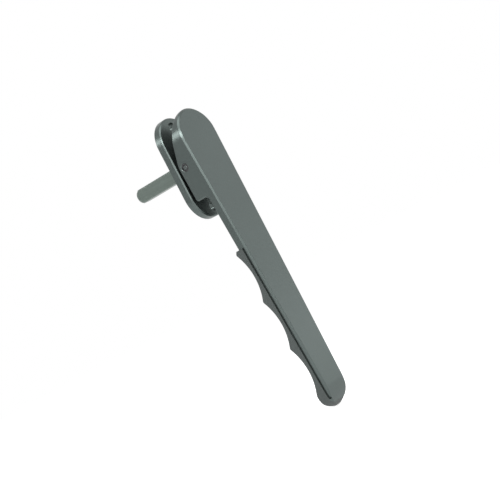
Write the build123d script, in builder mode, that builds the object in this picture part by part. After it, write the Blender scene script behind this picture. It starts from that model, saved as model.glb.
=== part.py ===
"""A folding lever handle for folding doors and windows.

A slim rosette is screwed to the door. A hub turns in it and carries the square spindle, and the
lever hinges on the hub by a cross pin, so its tip tips away from the door to be gripped.

Frame: the origin is on the spindle's axis at the rosette's back face, where it meets the door.
+Y points into the door along the spindle, +Z is up, and the lever hangs down at rest.
Sizes are in millimetres. A value named as a front or a back is a distance before the door face.
"""

import os
from math import cos, radians, sin, sqrt, tan

from build123d import *

# Rosette
rosette_width = 25.0
rosette_height = 52.8
rosette_thickness = 4.0
rosette_edge_round = 0.8
rosette_recess_radius = 11.0
rosette_recess_depth = 1.9
screw_spacing = 43.0
screw_hole_radius = 2.15
screw_mouth_chamfer = 0.25
screw_mouth_angle = 90.0

# Bearing bush between the rosette and the hub
bush_wall = 1.0
bush_flange_radius = 10.0
bush_flange_thickness = 0.35

# Hub
neck_radius = 6.5
neck_setback = 0.3
collar_thickness = 0.8
tongue_width = 11.0
tongue_half_height = 5.0
cam_flat_distance = 4.8

# Spindle and the pin that holds it in the hub
spindle_side = 7.0
spindle_reach = 33.0
spindle_depth_in_hub = 7.5
spindle_edge_chamfer = 0.5
spindle_end_radius = 3.3
spindle_end_angle = 30.0
spindle_pin_radius = 0.9
spindle_pin_setback = 2.95

# Disc spring and retaining ring behind the rosette's floor
ring_thickness = 0.8
ring_setback = 0.5
ring_groove_depth = 0.5
ring_width = 2.0
ring_gap = 2.4
ring_lug_radius = 1.35
ring_lug_hole_radius = 0.55
disc_spring_thickness = 0.3
disc_spring_cone = 0.12
disc_spring_outer_radius = 9.5

# Hinge between the hub and the lever
pivot_front = 9.5
fold_angle = 18.0
pivot_pin_radius = 1.25
pivot_bush_radius = 2.0
pivot_bush_slot = 0.7
pivot_mouth_chamfer = 0.25
pivot_end_setback = 0.3
side_washer_thickness = 0.5

# Lever outline, seen from the front
hub_end_radius = 13.5
tip_radius = 8.3
hub_end_rise = 12.2
lever_span = 137.4
nose_length = 12.0
nose_radius = 18.0

# Lever depths
lever_front = 17.4
lever_rake = 1.5
front_edge_chamfer = 0.9
block_front = 5.9
block_drop = 17.2
block_corner_round = 1.5
block_root_round = 2.0
block_edge_round = 0.8
relief_rise = 1.8
relief_angle = 19.0
bar_thickness = 4.8

# Detent spring in the lever's pocket
leaf_thickness = 0.35
leaf_bow = 0.35
leaf_width = 9.6
leaf_end_gap = 0.25
pocket_corner_round = 0.6

# Finger grip
grip_start = 46.4
grip_first_crest = 48.0
grip_last_crest_setback = 9.0
grip_crest_count = 4
grip_first_crest_depth = 7.6
grip_last_crest_depth = 7.8
grip_notch_depth = 3.2
grip_crest_round = 1.3
grip_lead = 1.2
grip_inset = 0.15
grip_edge_round = 0.7
plate_thickness = 2.6
seam_width = 1.4
seam_depth = 0.9
peg_radius = 1.5
peg_length = 1.2

# Clearances
running_clearance = 0.03
press_clearance = 0.01
face_clearance = 0.05
washer_clearance = 0.05
cam_clearance = 0.15
peg_end_clearance = 0.1
spindle_clearance = 0.05

# Places that follow from the sizes above
recess_floor = rosette_recess_depth
bush_radius = neck_radius + running_clearance + bush_wall
flange_front = rosette_thickness + bush_flange_thickness
collar_back = flange_front + face_clearance
collar_front = collar_back + collar_thickness
collar_radius = bush_flange_radius
ring_front = ring_setback + ring_thickness
tongue_half_width = tongue_width / 2
washer_inner_face = tongue_half_width + washer_clearance
washer_outer_face = washer_inner_face + side_washer_thickness
pocket_half_width = washer_outer_face + 2 * washer_clearance
neck_reach = pivot_front - collar_front
side_washer_radius = neck_reach - 4 * face_clearance
pocket_bottom = tongue_half_height + face_clearance
pocket_top = (
    tongue_half_height * cos(radians(fold_angle))
    + neck_reach * sin(radians(fold_angle))
    + cam_clearance
)
leaf_back = pivot_front + cam_flat_distance + cam_clearance
pocket_floor = leaf_back + leaf_thickness + leaf_bow + face_clearance
pivot_half_width = hub_end_radius - (hub_end_radius - tip_radius) * hub_end_rise / lever_span
pivot_end = pivot_half_width - pivot_end_setback
lever_bottom = hub_end_rise - lever_span - tip_radius
nose_top = lever_bottom + nose_length
side_overrun = front_edge_chamfer
side_top = hub_end_rise + hub_end_radius + side_overrun
side_bottom = lever_bottom - side_overrun
grip_last_crest = -lever_bottom - grip_last_crest_setback
grip_pitch = (grip_last_crest - grip_first_crest) / (grip_crest_count - 1)

# The lever's own planes: its front face leans forward towards the tip by the rake.
rake = radians(lever_rake)
front_plane = Plane(
    origin=(0, -lever_front, 0), x_dir=(1, 0, 0), z_dir=(0, -cos(rake), sin(rake))
)
# Seen from the side: x is the depth behind the front face and y runs up the lever.
side_plane = Plane(
    origin=(0, -lever_front, 0), x_dir=(0, cos(rake), -sin(rake)), z_dir=(1, 0, 0)
)


def in_side_plane(front, height):
    """Depth and height in the lever's side plane of a point given before the door face."""
    local = side_plane.to_local_coords(Vector(0, -front, height))
    return (local.X, local.Y)


def lever_outline(inset):
    """The lever's front outline, two circles joined by tangents, drawn inside it by an inset."""
    with BuildSketch(front_plane) as outline:
        with Locations((0, hub_end_rise)):
            Circle(hub_end_radius - inset)
        with Locations((0, hub_end_rise - lever_span)):
            Circle(tip_radius - inset)
        make_hull()
    return outline.sketch


def nose_depth(drop):
    """How far the front face has curved back at a distance below the start of the nose."""
    return nose_radius - sqrt(nose_radius**2 - drop**2)


def lever_blank(inset):
    """The outline pulled back to a solid, its tip curved back and its front edge broken."""
    with BuildPart() as blank:
        extrude(lever_outline(inset), amount=-lever_front)
        with BuildSketch(side_plane):
            with BuildLine():
                Polyline(
                    (0, nose_top),
                    (0, side_top),
                    (lever_front, side_top),
                    (lever_front, side_bottom),
                    (nose_depth(nose_top - side_bottom), side_bottom),
                )
                ThreePointArc(
                    (nose_depth(nose_top - side_bottom), side_bottom),
                    (nose_depth(nose_length / 2), nose_top - nose_length / 2),
                    (0, nose_top),
                )
            make_face()
        extrude(amount=2 * hub_end_radius, both=True, mode=Mode.INTERSECT)
        front_faces = blank.faces().filter_by(lambda face: face.normal_at().Y < -0.5)
        chamfer(front_faces.edges().filter_by(Axis.X, reverse=True), length=front_edge_chamfer)
    return blank.part


def crest_point(index):
    """Depth and height of one crest of the finger grip, counted from the top."""
    share = index / (grip_crest_count - 1)
    depth = grip_first_crest_depth + share * (grip_last_crest_depth - grip_first_crest_depth)
    return (depth, -grip_first_crest - index * grip_pitch)


def peg_heights():
    """Heights of the grip's pegs, one behind each of its inner crests."""
    return [crest_point(index)[1] for index in range(1, grip_crest_count - 1)]


def export(part, label):
    """Label a finished piece and write it as one STEP file."""
    part.label = label
    export_step(part, f"parts/{label}.step")


os.makedirs("parts", exist_ok=True)

# Rosette: an oblong plate with a rounded front edge, two screw holes, the bore for the bush and
# a recess at the back for the retaining ring.
with BuildPart() as rosette:
    with BuildSketch(Plane.XZ):
        SlotOverall(rosette_height, rosette_width, rotation=90)
    extrude(amount=rosette_thickness)
    fillet(rosette.faces().sort_by(Axis.Y)[0].edges(), radius=rosette_edge_round)
    with BuildSketch(Plane.XZ):
        Circle(rosette_recess_radius)
    extrude(amount=rosette_recess_depth, mode=Mode.SUBTRACT)
    with BuildSketch(Plane.XZ):
        Circle(bush_radius + press_clearance)
    extrude(amount=rosette_thickness, mode=Mode.SUBTRACT)
    with Locations(Plane.XZ.offset(rosette_thickness)):
        with GridLocations(0, screw_spacing, 1, 2):
            CounterSinkHole(
                radius=screw_hole_radius,
                counter_sink_radius=screw_hole_radius + screw_mouth_chamfer,
                counter_sink_angle=screw_mouth_angle,
            )
export(rosette.part, "rosette")

# Bearing bush: a moulded sleeve in the rosette's bore, with a flange under the hub's collar.
with BuildPart() as bearing_bush:
    with BuildSketch(Plane.XZ.offset(recess_floor)):
        Circle(bush_radius)
        Circle(neck_radius + running_clearance, mode=Mode.SUBTRACT)
    extrude(amount=rosette_thickness - recess_floor)
    with BuildSketch(Plane.XZ.offset(rosette_thickness)):
        Circle(bush_flange_radius)
        Circle(neck_radius + running_clearance, mode=Mode.SUBTRACT)
    extrude(amount=bush_flange_thickness)
export(bearing_bush.part, "bearing_bush")

# Hub: the neck turns in the bush, the collar bears on its flange, and the tongue carries the
# hinge. The tongue's nose has two flats, one for each position that the detent spring holds.
with BuildPart() as hub:
    with BuildSketch(Plane.XZ.offset(neck_setback)):
        Circle(neck_radius)
    extrude(amount=collar_back - neck_setback)
    with BuildSketch(Plane.XZ.offset(collar_back)):
        Circle(collar_radius)
    extrude(amount=collar_thickness)
    with BuildSketch(Plane.YZ) as tongue_side:
        with Locations((-pivot_front, 0)):
            Circle(tongue_half_height)
        with Locations((-(pivot_front + collar_back) / 2, 0)):
            Rectangle(pivot_front - collar_back, 2 * tongue_half_height)
        for flat_angle in (0, fold_angle):
            nose_reach = 2 * tongue_half_height
            flat_centre = cam_flat_distance + nose_reach / 2
            with Locations((
                -pivot_front - flat_centre * cos(radians(flat_angle)),
                flat_centre * sin(radians(flat_angle)),
            )):
                Rectangle(nose_reach, 2 * nose_reach, rotation=-flat_angle, mode=Mode.SUBTRACT)
    extrude(amount=tongue_half_width, both=True)
    with BuildSketch(Plane.XZ.offset(ring_setback)):
        Circle(neck_radius)
        Circle(neck_radius - ring_groove_depth, mode=Mode.SUBTRACT)
    extrude(amount=ring_thickness + face_clearance, mode=Mode.SUBTRACT)
    with BuildSketch(Plane.XZ):
        Rectangle(spindle_side + 2 * spindle_clearance, spindle_side + 2 * spindle_clearance)
    extrude(amount=spindle_depth_in_hub + face_clearance, mode=Mode.SUBTRACT)
    with BuildSketch(Plane.YZ):
        with Locations((-pivot_front, 0)):
            Circle(pivot_pin_radius + press_clearance)
    extrude(amount=tongue_half_width, both=True, mode=Mode.SUBTRACT)
    with BuildSketch(Plane.YZ):
        with Locations((-spindle_pin_setback, 0)):
            Circle(spindle_pin_radius + press_clearance)
    extrude(amount=neck_radius, both=True, mode=Mode.SUBTRACT)
export(hub.part, "hub")

# Spindle: a square bar with broken edges. Its end is turned to a cone, to find the door's lock.
cone_length = (spindle_side - spindle_end_radius) / tan(radians(spindle_end_angle))
with BuildPart() as spindle:
    with BuildSketch(Plane.XZ.offset(-spindle_reach)):
        Rectangle(spindle_side, spindle_side)
    extrude(amount=spindle_reach + spindle_depth_in_hub)
    chamfer(spindle.edges().filter_by(Axis.Y), length=spindle_edge_chamfer)
    with BuildSketch(Plane.XY):
        with BuildLine():
            Polyline(
                (0, -spindle_depth_in_hub),
                (spindle_side, -spindle_depth_in_hub),
                (spindle_side, spindle_reach - cone_length),
                (spindle_end_radius, spindle_reach),
                (0, spindle_reach),
                close=True,
            )
        make_face()
    revolve(axis=Axis.Y, mode=Mode.INTERSECT)
    with BuildSketch(Plane.YZ):
        with Locations((-spindle_pin_setback, 0)):
            Circle(spindle_pin_radius + press_clearance)
    extrude(amount=spindle_side, both=True, mode=Mode.SUBTRACT)
export(spindle.part, "spindle")

# Spindle pin: it crosses the neck and the spindle, and the bush around the neck traps it.
with BuildPart() as spindle_pin:
    with BuildSketch(Plane.YZ):
        with Locations((-spindle_pin_setback, 0)):
            Circle(spindle_pin_radius)
    extrude(amount=neck_radius - running_clearance - face_clearance, both=True)
export(spindle_pin.part, "spindle_pin")

# Disc spring: a shallow cone that takes up the hub's end play.
disc_spring_inner_radius = neck_radius + 2 * face_clearance
disc_spring_back = ring_front + face_clearance
with BuildPart() as disc_spring:
    with BuildSketch(Plane.XY):
        with BuildLine():
            Polyline(
                (disc_spring_inner_radius, -disc_spring_back),
                (disc_spring_outer_radius, -disc_spring_back - disc_spring_cone),
                (disc_spring_outer_radius, -disc_spring_back - disc_spring_cone - disc_spring_thickness),
                (disc_spring_inner_radius, -disc_spring_back - disc_spring_thickness),
                close=True,
            )
        make_face()
    revolve(axis=Axis.Y)
export(disc_spring.part, "disc_spring")

# Retaining ring: an open ring in the neck's groove, with two drilled lugs.
ring_inner_radius = neck_radius - ring_groove_depth + press_clearance
ring_outer_radius = ring_inner_radius + ring_width
lug_offset = ring_gap / 2 + ring_lug_radius
lug_height = ring_outer_radius + ring_lug_radius / 3
with BuildPart() as retaining_ring:
    with BuildSketch(Plane.XZ.offset(ring_setback + face_clearance / 2)):
        Circle(ring_outer_radius)
        for side in (-1, 1):
            with Locations((side * lug_offset, -lug_height)):
                Circle(ring_lug_radius)
        Circle(ring_inner_radius, mode=Mode.SUBTRACT)
        with Locations((0, -lug_height)):
            Rectangle(ring_gap, 2 * ring_outer_radius, mode=Mode.SUBTRACT)
        for side in (-1, 1):
            with Locations((side * lug_offset, -lug_height)):
                Circle(ring_lug_hole_radius, mode=Mode.SUBTRACT)
    extrude(amount=ring_thickness)
export(retaining_ring.part, "retaining_ring")

# Pivot pin: pressed through the tongue, its ends just inside the lever's sides.
with BuildPart() as pivot_pin:
    with BuildSketch(Plane.YZ):
        with Locations((-pivot_front, 0)):
            Circle(pivot_pin_radius)
    extrude(amount=pivot_end, both=True)
    chamfer(pivot_pin.edges().filter_by(GeomType.CIRCLE), length=pivot_mouth_chamfer)
export(pivot_pin.part, "pivot_pin")

# Pivot bushes and side washers, one of each on either side of the tongue.
for side, side_name in ((-1, "left"), (1, "right")):
    with BuildPart() as pivot_bush:
        with BuildSketch(Plane.YZ.offset(side * pocket_half_width)):
            with Locations((-pivot_front, 0)):
                Circle(pivot_bush_radius)
                Circle(pivot_pin_radius + running_clearance, mode=Mode.SUBTRACT)
            with Locations((-pivot_front + pivot_bush_radius, 0)):
                Rectangle(2 * pivot_bush_radius, pivot_bush_slot, mode=Mode.SUBTRACT)
        extrude(amount=side * (pivot_end - pocket_half_width))
    export(pivot_bush.part, f"pivot_bush_{side_name}")

    with BuildPart() as side_washer:
        with BuildSketch(Plane.YZ.offset(side * washer_inner_face)):
            with Locations((-pivot_front, 0)):
                Circle(side_washer_radius)
                Circle(pivot_pin_radius + running_clearance, mode=Mode.SUBTRACT)
        extrude(amount=side * side_washer_thickness)
    export(side_washer.part, f"side_washer_{side_name}")

# Detent spring: a bowed leaf on the pocket's floor that bears on the flats of the tongue.
leaf_top = pocket_top - leaf_end_gap
leaf_bottom = -pocket_bottom + leaf_end_gap
leaf_middle = (leaf_top + leaf_bottom) / 2
leaf_end_back = -leaf_back - leaf_bow
with BuildPart() as detent_spring:
    with BuildSketch(Plane.YZ):
        with BuildLine():
            ThreePointArc(
                (leaf_end_back, leaf_bottom), (-leaf_back, leaf_middle), (leaf_end_back, leaf_top)
            )
            Line((leaf_end_back, leaf_top), (leaf_end_back - leaf_thickness, leaf_top))
            ThreePointArc(
                (leaf_end_back - leaf_thickness, leaf_top),
                (-leaf_back - leaf_thickness, leaf_middle),
                (leaf_end_back - leaf_thickness, leaf_bottom),
            )
            Line((leaf_end_back - leaf_thickness, leaf_bottom), (leaf_end_back, leaf_bottom))
        make_face()
    extrude(amount=leaf_width / 2, both=True)
export(detent_spring.part, "detent_spring")

# Lever: one casting. Its side view gives the deep block with the relieved back, the flat bar and
# the plate under the finger grip. A step round the plate's back makes the dark seam beside the grip.
relief_end_front = block_front + (side_top - relief_rise) * tan(radians(relief_angle))
block_heel = in_side_plane(block_front, -block_drop)
relief_start = in_side_plane(block_front, relief_rise)
relief_end = in_side_plane(relief_end_front, side_top)
with BuildPart() as lever:
    add(lever_blank(0))
    with BuildSketch(side_plane):
        with BuildLine():
            Polyline(
                (0, relief_end[1]),
                (0, side_bottom),
                (plate_thickness, side_bottom),
                (plate_thickness, -grip_start),
                (bar_thickness, -grip_start),
                (bar_thickness, block_heel[1]),
                block_heel,
                relief_start,
                relief_end,
                close=True,
            )
        make_face()
    extrude(amount=2 * hub_end_radius, both=True, mode=Mode.INTERSECT)
    block_back = lever.faces().filter_by(Plane.XZ).sort_by(Axis.Y)[-1]
    fillet(block_back.edges().sort_by(Axis.Z)[0], radius=block_corner_round)
    block_root = lever.edges().filter_by(Axis.X).sort_by_distance(
        side_plane.from_local_coords((bar_thickness, block_heel[1], 0))
    )[0]
    fillet(block_root, radius=block_root_round)
    back_faces = lever.faces().filter_by(
        lambda face: abs(face.center().X) < 1
        and face.center().Z > -grip_start
        and face.normal_at().Y > -0.5
    )
    fillet(back_faces.edges().filter_by(Axis.X, reverse=True), radius=block_edge_round)
    with BuildSketch(Plane.XZ):
        with Locations((0, (pocket_top - pocket_bottom) / 2)):
            RectangleRounded(
                2 * pocket_half_width, pocket_top + pocket_bottom, pocket_corner_round
            )
    extrude(amount=pocket_floor, mode=Mode.SUBTRACT)
    with BuildSketch(Plane.YZ):
        with Locations((-pivot_front, 0)):
            Circle(pivot_bush_radius + press_clearance)
    extrude(amount=hub_end_radius, both=True, mode=Mode.SUBTRACT)
    for side in (-1, 1):
        with BuildSketch(Plane.YZ.offset(side * (pivot_half_width + pivot_mouth_chamfer))):
            with Locations((-pivot_front, 0)):
                Circle(pivot_bush_radius + 2 * pivot_mouth_chamfer)
        extrude(amount=-2 * side * pivot_mouth_chamfer, taper=45, mode=Mode.SUBTRACT)
    with BuildSketch(front_plane.offset(-plate_thickness)):
        for height in peg_heights():
            with Locations((0, height)):
                Circle(peg_radius + running_clearance)
    extrude(amount=peg_length + peg_end_clearance, mode=Mode.SUBTRACT)
    with BuildPart(mode=Mode.SUBTRACT):
        with BuildSketch(front_plane.offset(seam_width - plate_thickness)):
            with Locations((0, (side_bottom - grip_start) / 2)):
                Rectangle(2 * hub_end_radius, -grip_start - side_bottom)
        extrude(amount=-seam_width)
        extrude(lever_outline(seam_depth), amount=-lever_front, mode=Mode.SUBTRACT)
export(lever.part, "lever")

# Finger grip: a moulded inlay behind the plate, a little narrower than it, with a crest between
# each pair of fingers. Two pegs locate it.
crests = [crest_point(index) for index in range(grip_crest_count)]
with BuildPart() as finger_grip:
    add(lever_blank(grip_inset))
    with BuildSketch(side_plane) as grip_side:
        with BuildLine():
            Polyline(
                (grip_last_crest_depth, crests[-1][1]),
                (grip_last_crest_depth, side_bottom),
                (plate_thickness, side_bottom),
                (plate_thickness, -grip_start),
                (grip_first_crest_depth - grip_lead, -grip_start),
                crests[0],
            )
            for upper, lower in zip(crests, crests[1:]):
                valley_depth = (upper[0] + lower[0]) / 2 - grip_notch_depth
                ThreePointArc(upper, (valley_depth, (upper[1] + lower[1]) / 2), lower)
        make_face()
        crest_corners = [
            grip_side.vertices().sort_by_distance((*crest, 0))[0] for crest in crests
        ]
        fillet(crest_corners, radius=grip_crest_round)
    extrude(amount=2 * hub_end_radius, both=True, mode=Mode.INTERSECT)
    finger_faces = finger_grip.faces().filter_by(
        lambda face: abs(face.center().X) < 1 and face.normal_at().Y > 0.3
    )
    fillet(finger_faces.edges().filter_by(Axis.X, reverse=True), radius=grip_edge_round)
    with BuildSketch(front_plane.offset(-plate_thickness)):
        for height in peg_heights():
            with Locations((0, height)):
                Circle(peg_radius)
    extrude(amount=peg_length)
export(finger_grip.part, "finger_grip")
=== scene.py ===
# %% [markdown]
# # A folding lever handle
#
# This lesson dresses a handle for folding doors and windows. A slim rosette carries a hub with a
# square spindle, and a long lever hangs from the hub on a cross pin, so that its lower end can tip
# out from the door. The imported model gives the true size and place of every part, so it is loaded
# first and everything else is fitted to it.

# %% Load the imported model
from math import asin, cos, pi, radians, sin, sqrt, tan

import bmesh
import bpy
from mathutils import Matrix, Vector


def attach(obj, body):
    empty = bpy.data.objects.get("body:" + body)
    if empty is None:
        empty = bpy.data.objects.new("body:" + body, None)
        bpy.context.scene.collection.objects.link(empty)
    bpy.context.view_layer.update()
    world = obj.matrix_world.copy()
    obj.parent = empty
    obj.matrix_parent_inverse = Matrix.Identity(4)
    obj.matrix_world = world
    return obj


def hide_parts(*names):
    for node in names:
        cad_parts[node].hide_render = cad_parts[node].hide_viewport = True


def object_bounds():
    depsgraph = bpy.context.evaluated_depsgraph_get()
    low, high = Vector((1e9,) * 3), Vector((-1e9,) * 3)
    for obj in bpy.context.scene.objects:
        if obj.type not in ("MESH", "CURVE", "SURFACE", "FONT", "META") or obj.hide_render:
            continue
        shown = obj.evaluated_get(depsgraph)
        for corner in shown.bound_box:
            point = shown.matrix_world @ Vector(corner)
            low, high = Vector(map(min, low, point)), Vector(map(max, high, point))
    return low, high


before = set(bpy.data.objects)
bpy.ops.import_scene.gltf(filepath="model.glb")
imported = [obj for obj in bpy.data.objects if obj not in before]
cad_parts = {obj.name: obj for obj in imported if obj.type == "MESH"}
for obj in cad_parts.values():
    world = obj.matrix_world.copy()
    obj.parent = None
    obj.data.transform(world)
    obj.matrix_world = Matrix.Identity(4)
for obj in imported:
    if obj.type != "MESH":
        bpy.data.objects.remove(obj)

MM = 0.001
cad_low, cad_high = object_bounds()
print("Parts:", ", ".join(sorted(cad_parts)))
print("Size in mm:", [round(side / MM, 1) for side in cad_high - cad_low])

# %% [markdown]
# ## The camera
#
# A camera is easiest to match when it is described as a photographer would: its side, height,
# roll and distance. Here it stands left of the front, almost level and rolled by 27 degrees, so
# the lever runs across the frame. Turns could be set one after another, but as rows of one
# matrix the camera's three directions can't be applied in the wrong order.

# %% Camera
AZIMUTH = radians(-53.094)
ELEVATION = radians(-0.669)
ROLL = radians(27.471)
DISTANCE = 697.245 * MM
ASIDE = 9.262 * MM
ABOVE = -48.536 * MM
FOCAL_PIXELS = 1440
IMAGE_PIXELS = 500

back = Vector((
    sin(AZIMUTH) * cos(ELEVATION), -cos(AZIMUTH) * cos(ELEVATION), sin(ELEVATION)
))
right = Vector((cos(AZIMUTH), sin(AZIMUTH), 0))
up = back.cross(right)
image_right = cos(ROLL) * right - sin(ROLL) * up
image_up = sin(ROLL) * right + cos(ROLL) * up

camera_data = bpy.data.cameras.new("camera")
camera_data.lens = camera_data.sensor_width * FOCAL_PIXELS / IMAGE_PIXELS
camera = bpy.data.objects.new("camera", camera_data)
bpy.context.scene.collection.objects.link(camera)
camera.matrix_world = Matrix.Translation(back * DISTANCE + right * ASIDE + up * ABOVE) @ Matrix(
    (image_right, image_up, back)
).transposed().to_4x4()
bpy.context.scene.camera = camera
print("Camera stands at", [round(place / MM) for place in camera.location], "mm")

# %% [markdown]
# ## Writing shader sums in Python
#
# A shader tree is easier to read as arithmetic. The class below wraps one output socket, and
# every sum or product on it adds a Math node. Where a plain number stands first, Python looks for
# the reflected form of an operator, so each is given in both forms.

# %% Sums on sockets
class Signal:
    """One output socket of a finish, ready for arithmetic."""

    def __init__(self, finish, socket):
        self.finish = finish
        self.socket = socket

    def maths(self, operation, first, second):
        return self.finish.node(
            "ShaderNodeMath", {"operation": operation}, {0: first, 1: second}
        )

    def __add__(self, other):
        return self.maths("ADD", self, other)

    def __radd__(self, other):
        return self.maths("ADD", other, self)

    def __sub__(self, other):
        return self.maths("SUBTRACT", self, other)

    def __rsub__(self, other):
        return self.maths("SUBTRACT", other, self)

    def __mul__(self, other):
        return self.maths("MULTIPLY", self, other)

    def __rmul__(self, other):
        return self.maths("MULTIPLY", other, self)


# %% [markdown]
# A second class holds the nodes of one material. Each node could be added with five lines of
# its own, but one method that takes its type, settings and inputs keeps every finish short. The
# patterns are read from Object coordinates, so they stay on a piece when it moves.

# %% Nodes of a finish
class Finish:
    """The nodes of a material or a world, and the one way in which nodes are added to them."""

    def __init__(self, owner, shader_name="Principled BSDF"):
        owner.use_nodes = True
        self.nodes = owner.node_tree.nodes
        self.links = owner.node_tree.links
        self.shader = self.nodes[shader_name]

    def node(self, kind, settings=None, inputs=None, output=0):
        """Adds a node, makes its settings and then feeds its inputs."""
        node = self.nodes.new(kind)
        for setting, value in (settings or {}).items():
            setattr(node, setting, value)
        self.feed(node, inputs or {})
        return Signal(self, node.outputs[output])

    def feed(self, node, inputs):
        """Links signals to a node's inputs and sets plain values on them."""
        for socket, value in inputs.items():
            if isinstance(value, Signal):
                self.links.new(value.socket, node.inputs[socket])
            else:
                node.inputs[socket].default_value = value

    def place(self, stretch=(1, 1, 1)):
        """The place on the object, in metres, stretched along each axis."""
        here = self.node("ShaderNodeTexCoord", output="Object")
        return self.node("ShaderNodeMapping", {}, {"Vector": here, "Scale": stretch})

    def noise(self, place, grains_per_metre, detail=2.0):
        """A cloudy pattern about a half, with its size given as grains for each metre."""
        return self.node(
            "ShaderNodeTexNoise", {},
            {"Vector": place, "Scale": grains_per_metre, "Detail": detail, "Roughness": 0.5},
        )

    def blend(self, share, first, second):
        """Mixes two colours by a share from 0 to 1."""
        return self.node(
            "ShaderNodeMix", {"data_type": "RGBA"}, {0: share, 6: first, 7: second}, output=2
        )

    def relief(self, height, depth):
        """Turns a height pattern into a bump of a given depth in metres."""
        return self.node(
            "ShaderNodeBump", {}, {"Strength": 1.0, "Distance": depth, "Height": height},
            output="Normal",
        )

    def background_ray(self):
        """1 for rays that should see a bright background, and 0 for rays that carry light."""
        seen = self.node("ShaderNodeLightPath", output="Is Camera Ray")
        for kind in ("Is Glossy Ray", "Is Transmission Ray"):
            seen = seen.maths("MAXIMUM", seen, self.node("ShaderNodeLightPath", output=kind))
        return seen


# %% [markdown]
# ## The metallic paint
#
# The handle has a satin paint with fine metal flakes. From arm's length it is one greenish grey,
# but close up it has broad faint clouds from spraying, a grain of flakes, and the slight
# waviness that painters call orange peel. A photograph of paint would have seams and a fixed
# size, so each of the three is one noise pattern. The first two change the colour and the
# gloss, and the last one is a shallow bump.

# %% Helpers for patterns and colours
MIDDLE = 0.5


def shade(colour, factor):
    """A colour made lighter or darker, with full opacity."""
    return (*(channel * factor for channel in colour), 1.0)


def swing(pattern, amount):
    """Turns a pattern about a half into a change about zero."""
    return (pattern - MIDDLE) * amount


def start_finish(name):
    """A new material and the finish that holds its nodes."""
    material = bpy.data.materials.new(name)
    return material, Finish(material)


# %% Metallic paint
PAINT_COLOUR = (0.0825, 0.100, 0.0955)
PAINT_SHADES = (0.86, 1.14)
PAINT_METAL = 0.90
PAINT_ROUGHNESS = 0.32
CLOUDS_PER_METRE = 38
CLOUD_CONTRAST = 0.6
CLOUD_DULLING = 0.08
FLAKES_PER_METRE = 3400
FLAKE_CONTRAST = 1.3
FLAKE_DULLING = 0.10
FLAKE_RELIEF = 0.25
PEEL_PER_METRE = 900
PEEL_DEPTH = 0.012 * MM

handle_paint, finish = start_finish("satin metallic paint")
here = finish.place()
clouds = finish.noise(here, CLOUDS_PER_METRE, detail=3.0)
flakes = finish.noise(here, FLAKES_PER_METRE, detail=1.0)
peel = finish.noise(here, PEEL_PER_METRE)
lightness = MIDDLE + swing(clouds, CLOUD_CONTRAST) + swing(flakes, FLAKE_CONTRAST)
darkest, lightest = (shade(PAINT_COLOUR, factor) for factor in PAINT_SHADES)
finish.feed(finish.shader, {
    "Base Color": finish.blend(lightness, darkest, lightest),
    "Metallic": PAINT_METAL,
    "Roughness": PAINT_ROUGHNESS + swing(clouds, CLOUD_DULLING) + swing(flakes, FLAKE_DULLING),
    "Normal": finish.relief(peel + flakes * FLAKE_RELIEF, PEEL_DEPTH),
})
print("Paint is", PAINT_METAL, "metal with a roughness of", PAINT_ROUGHNESS)

# %% [markdown]
# ## The grip's plastic
#
# The grip has the lever's colour, but it is duller and hardly metallic. Its mould was spark-eroded,
# which leaves tiny pits on the plastic. They are one noise pattern that feeds both the gloss
# and the bump, because on real plastic the two belong together.

# %% Grip plastic
GRIP_COLOUR = shade(PAINT_COLOUR, 0.66)[:3]
GRIP_SHADES = (0.90, 1.08)
GRIP_METAL = 0.15
GRIP_ROUGHNESS = 0.46
PITS_PER_METRE = 2600
PIT_DULLING = 0.16
PIT_DEPTH = 0.016 * MM

grip_plastic, finish = start_finish("moulded grip")
here = finish.place()
clouds = finish.noise(here, CLOUDS_PER_METRE, detail=3.0)
pits = finish.noise(here, PITS_PER_METRE)
darkest, lightest = (shade(GRIP_COLOUR, factor) for factor in GRIP_SHADES)
finish.feed(finish.shader, {
    "Base Color": finish.blend(clouds, darkest, lightest),
    "Metallic": GRIP_METAL,
    "Roughness": GRIP_ROUGHNESS + swing(pits, PIT_DULLING),
    "Normal": finish.relief(pits, PIT_DEPTH),
})
print("Grip colour:", [round(channel, 3) for channel in GRIP_COLOUR])

# %% [markdown]
# ## Steels
#
# The spindle is drawn steel, on which the tool has left fine lines. A noise pattern that is
# stretched along the bar gives such lines, because it changes quickly only across it. The inner
# parts are phosphated, which is dark, and the springs are oiled. They have no lines, but the same
# recipe without the stretch gives their even grain.

# %% Steel finishes
LINES_PER_METRE = 2200
LINE_SHARE = 0.6
LINE_DULLING = 0.14
STEEL_CLOUDS_PER_METRE = 60
STEEL_SHADES = (0.82, 1.12)
ALONG_THE_SPINDLE = (1, 0.012, 1)


def lined_steel(name, colour, metal, roughness, line_depth, stretch=(1, 1, 1)):
    """Steel with fine lines along one direction, or with an even grain."""
    material, finish = start_finish(name)
    lines = finish.noise(finish.place(stretch), LINES_PER_METRE, detail=3.0)
    clouds = finish.noise(finish.place(), STEEL_CLOUDS_PER_METRE)
    darkest, lightest = (shade(colour, factor) for factor in STEEL_SHADES)
    finish.feed(finish.shader, {
        "Base Color": finish.blend(
            lines * LINE_SHARE + clouds * (1 - LINE_SHARE), darkest, lightest
        ),
        "Metallic": metal,
        "Roughness": roughness + swing(lines, LINE_DULLING),
        "Normal": finish.relief(lines, line_depth),
    })
    return material


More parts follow.
